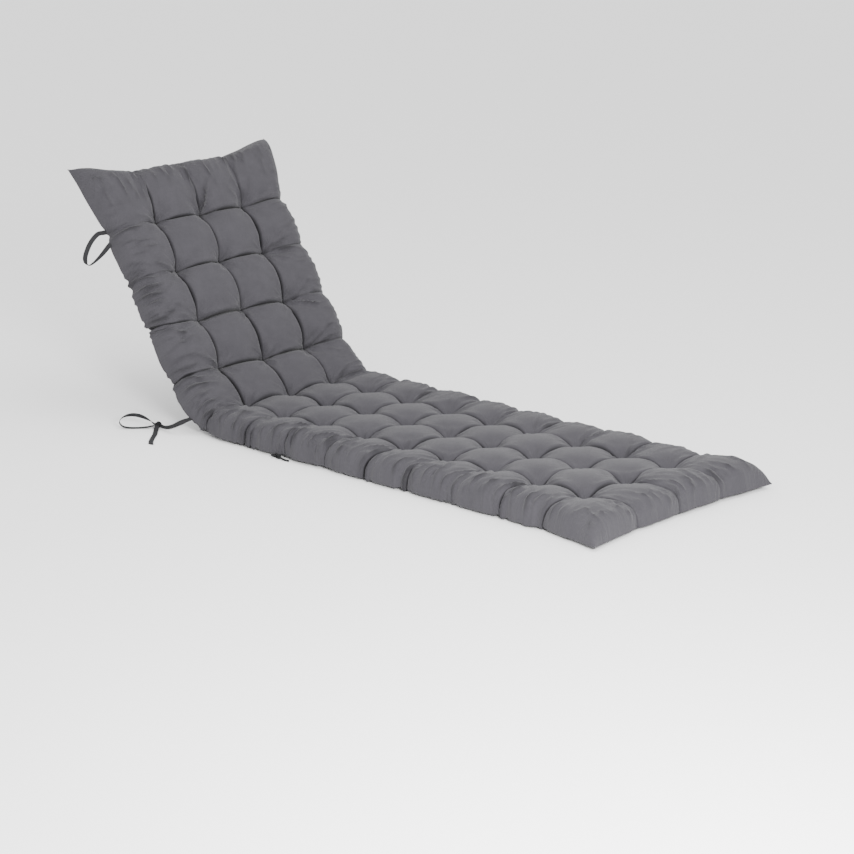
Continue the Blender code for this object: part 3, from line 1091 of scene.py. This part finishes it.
cloth_s = read_attribute(cushion, "cloth_s")
cloth_t = read_attribute(cushion, "cloth_t")
upper_side = read_attribute(cushion, "upper") > 0.5
heights = np.zeros(len(cloth_s))
for side in (upper_side, ~upper_side):
    panel = Panel(cloth_s[side], cloth_t[side])
    for press in (tuft_pleats, seam_pleats, fan_pleats, near_gathers):
        press(panel)
    heights[side] = panel.heights
heights = np.clip(soften(cushion, heights) * PLEAT_GAIN, -PLEAT_LIMIT, PLEAT_LIMIT)
normals = read(cushion.data.vertices, "normal", 3)
points = points_of(cushion) + normals * heights[:, None]
points[:, 2] = np.maximum(points[:, 2], 0.0)
move_points(cushion, points)
# Painted shade: each pleat's valley is darkened in the colour, the more the deeper it is.
painted_valley_shade = np.clip(-heights / PLEAT_LIMIT, 0.0, 1.0) * VALLEY_SHADE
keep_attribute(cushion, "painted_crease_shade", np.maximum(read_attribute(cushion, "painted_crease_shade"), painted_valley_shade))
print("the pleats are up to", round(float(-heights.min()) * 1000, 1), "mm deep")

# %% [markdown]
# The tufting thread shows as one short stitch at the bottom of every dimple, on both faces: two
# strands side by side that dive back into the cloth. One stitch is a cylinder that is bent over
# by moving its rings, and the others are copies of it, each turned a little its own way.

# %% Tufting stitches
STITCH_LENGTH = 0.0085
STITCH_THREAD = 0.0011
STITCH_RISE = 0.0016
STITCH_RINGS = 6
THREAD_COLOUR = (0.016, 0.016, 0.018)
THREAD_DARK = (0.011, 0.011, 0.012, 1.0)
THREAD_LIGHT = (0.026, 0.026, 0.029, 1.0)


def stitch_strand(offset):
    """One strand: a thin cylinder along y, bowed so that both its ends go down into the cloth."""
    bpy.ops.object.select_all(action="DESELECT")
    bpy.ops.mesh.primitive_cylinder_add(
        vertices=6, radius=STITCH_THREAD / 2, depth=STITCH_LENGTH, rotation=(math.pi / 2, 0, 0))
    bpy.ops.object.transform_apply(location=True, rotation=True, scale=True)
    strand = named("strand")
    for ring in range(1, STITCH_RINGS):
        cut = STITCH_LENGTH * (ring / STITCH_RINGS - 0.5)
        bpy.ops.object.mode_set(mode="EDIT")
        bpy.ops.mesh.select_all(action="SELECT")
        bpy.ops.mesh.bisect(plane_co=(0, cut, 0), plane_no=(0, 1, 0))
        bpy.ops.object.mode_set(mode="OBJECT")
    rows = points_of(strand)
    bow = 1 - (rows[:, 1] / (STITCH_LENGTH / 2)) ** 2
    rows[:, 2] += STITCH_RISE * (2 * bow - 1)
    rows[:, 0] += offset * (0.4 + bow)
    move_points(strand, rows)
    return strand


def thread_finish():
    finish = Finish("tufting_thread", THREAD_COLOUR, 0.7)
    along, around = finish.parts(finish.uv())
    ply = finish.maths("SINE", (along + around) * 40.0)
    share = finish.clamped(ply * 0.5 + 0.5)
    finish.set("Base Color", finish.blend(share, THREAD_DARK, THREAD_LIGHT))
    finish.set("Normal", finish.bump(ply, 0.6, 0.0002))
    return finish.material


stitch = join([stitch_strand(-STITCH_THREAD * 0.6), stitch_strand(STITCH_THREAD * 0.6)], "stitch")
one_stitch = points_of(stitch)
stitch_dice = random.Random(SEED + 2)
stitches = []
for _, _, centre in tufts():
    for height, face in ((TUFT_TOP + SEAM_EDGE / 2, 1.0), (TUFT_UNDER - SEAM_EDGE / 2, -1.0)):
        turn = stitch_dice.uniform(-0.6, 0.6)
        across_it = one_stitch[:, 0] * math.cos(turn) - one_stitch[:, 1] * math.sin(turn)
        along_it = one_stitch[:, 0] * math.sin(turn) + one_stitch[:, 1] * math.cos(turn)
        copy = stitch.copy()
        copy.data = stitch.data.copy()
        bpy.context.scene.collection.objects.link(copy)
        move_points(copy, place(centre[0] + across_it, centre[1] + along_it * face,
                                height + face * (one_stitch[:, 2] + STITCH_THREAD / 2)))
        stitches.append(copy)
bpy.data.objects.remove(stitch)
thread = join(stitches, "tufting_thread")
finish_piece(thread, thread_finish(), "cover_cloth")
print(len(stitches), "stitches with", len(thread.data.polygons), "faces in all")

# %% [markdown]
# The cover is plain-woven polyester: a fine checker of threads, some a little thicker than others,
# in a charcoal grey that is never quite even. All of it reads the UV map, which holds metres of
# cloth. Wrinkles too fine for the mesh are bumps: streaks that fan out from the nearest tuft, found
# by folding the UV map into one cell of the tuft net, and gathers that stand on the seams.

# %% Cloth finish
CLOTH_DARK = (0.034, 0.0325, 0.037, 1.0)
CLOTH_LIGHT = (0.054, 0.0515, 0.0583, 1.0)
# painted shade: the colour that the bottoms of the creases and of the pleats are painted
CLOTH_PAINTED_SHADE = (0.006, 0.006, 0.0068, 1.0)
THREAD = 0.0009
FAN_REACH = 0.085
GATHER_REACH = 0.075


def fade(finish, distance, reach):
    """1 at no distance, falling to 0 at this reach."""
    return finish.clamped(1 - distance / reach)


def from_line(finish, place_on_cloth, first, pitch):
    """Signed distance to the nearest line of a regular set."""
    cell = finish.maths("FRACT", (place_on_cloth - first) / pitch + 0.5)
    return (cell - 0.5) * pitch


print("one cell of the tuft net is", ROW_PITCH, "by", COLUMN_PITCH, "m")

# %% [markdown]
# The finish puts it together: colour from the slow mottle, the threads and the flecks, a matte
# surface with a little sheen, and two bumps, one for the wrinkles and one for the weave. The
# bottoms of the creases are kept dark, because hardly any light reaches them.

# %% The cover's finish


def cloth_finish():
    finish = Finish("cover_cloth", CLOTH_LIGHT[:3], 0.9)
    flat = finish.uv()
    along, across = finish.parts(flat)

    weave = finish.wave(along, THREAD) * finish.wave(across, THREAD)
    warp = finish.noise(finish.uv(30.0, 900.0), 1.0, 2.0)
    weft = finish.noise(finish.uv(900.0, 30.0), 1.0, 2.0)
    mottle = finish.noise(flat, 26.0, 5.0, 0.6)
    fleck = finish.noise(flat, 420.0, 3.0, 0.7)

    from_row = from_line(finish, along, END_ROW, ROW_PITCH)
    from_column = from_line(finish, across, COLUMN_LINES[1], COLUMN_PITCH)
    away = finish.node("ShaderNodeCombineXYZ", {}, {"X": from_row, "Y": from_column})
    distance = finish.node("ShaderNodeVectorMath", {"operation": "LENGTH"}, {0: away}, "Value")
    ray = finish.node("ShaderNodeVectorMath", {"operation": "NORMALIZE"}, {0: away})
    fan = finish.noise(ray, 4.2, 3.0, 0.65) * fade(finish, distance, FAN_REACH) ** 1.3

    from_side = WIDTH / 2 - finish.maths("ABSOLUTE", across)
    from_end = finish.maths("MINIMUM", along, LENGTH - along)
    on_side = finish.noise(finish.uv(85.0, 14.0), 1.0, 4.0, 0.6) * fade(finish, from_side, GATHER_REACH)
    on_end = finish.noise(finish.uv(14.0, 85.0), 1.0, 4.0, 0.6) * fade(finish, from_end, GATHER_REACH)

    shade = mottle * 0.9 + (warp + weft) * 0.35 + fleck * 0.5 - 0.55 + weave * 0.06
    colour = finish.blend(finish.clamped(shade), CLOTH_DARK, CLOTH_LIGHT)
    # Painted shade: the base colour is darkened in the creases and in the pleats' valleys, where little
    # light reaches
    painted_crease_shade = finish.attribute("painted_crease_shade")
    finish.set("Base Color", finish.blend(finish.clamped(painted_crease_shade * 1.2), colour, CLOTH_PAINTED_SHADE))
    finish.set("Roughness", 0.82 + fleck * 0.14)
    finish.set("Specular IOR Level", 0.12)
    finish.set("Sheen Weight", 0.08)
    finish.set("Sheen Roughness", 0.5)
    wrinkles = finish.bump(fan * 1.2 + (on_side + on_end) * 0.8, 0.9, 0.0042)
    threads = finish.bump(weave + (warp + weft) * 1.5, 0.5, 0.00012, wrinkles)
    finish.set("Normal", threads)
    return finish.material


finish_piece(cushion, cloth_finish(), "cover_cloth", "cushion")

# %% [markdown]
# The picture is a plain catalogue one: a pale floor that runs out of sight, even light from all
# round and two large soft lights. The lower one stands beside the camera and fills the side walls,
# and the one overhead is weak, so that the tops of the puffs stay darker than their sides.

# %% Floor and light
FLOOR_SIZE = 60.0
FLOOR_GREY = 0.92
SURROUND = 1.75
bpy.ops.object.select_all(action="DESELECT")
bpy.ops.mesh.primitive_plane_add(size=FLOOR_SIZE, location=(0.0, 0.0, -0.0004))
floor = named("floor")
floor_finish = Finish("pale_floor", (FLOOR_GREY,) * 3, 0.9)
floor.data.materials.append(floor_finish.material)


def softbox(name, stand, aim, width, height, power):
    bpy.ops.object.select_all(action="DESELECT")
    bpy.ops.object.light_add(type="AREA", location=stand)
    light = named(name)
    light.data.shape = "RECTANGLE"
    light.data.size = width
    light.data.size_y = height
    light.data.energy = power
    light.rotation_euler = (Vector(aim) - Vector(stand)).to_track_quat("-Z", "Y").to_euler()


softbox("top_light", stand=(0.5, 0.4, 3.0), aim=(0.3, 0.0, 0.1), width=2.2, height=1.6, power=25.0)
softbox("key_light", stand=(2.75, -1.85, 1.35), aim=(0.25, -0.1, 0.1), width=0.8, height=0.6,
        power=200.0)
world = bpy.context.scene.world or bpy.data.worlds.new("studio")
bpy.context.scene.world = world
world.use_nodes = True
background = world.node_tree.nodes["Background"]
background.inputs["Color"].default_value = (1.0, 1.0, 1.0, 1.0)
background.inputs["Strength"].default_value = SURROUND
print("two soft lights and an even white surround")
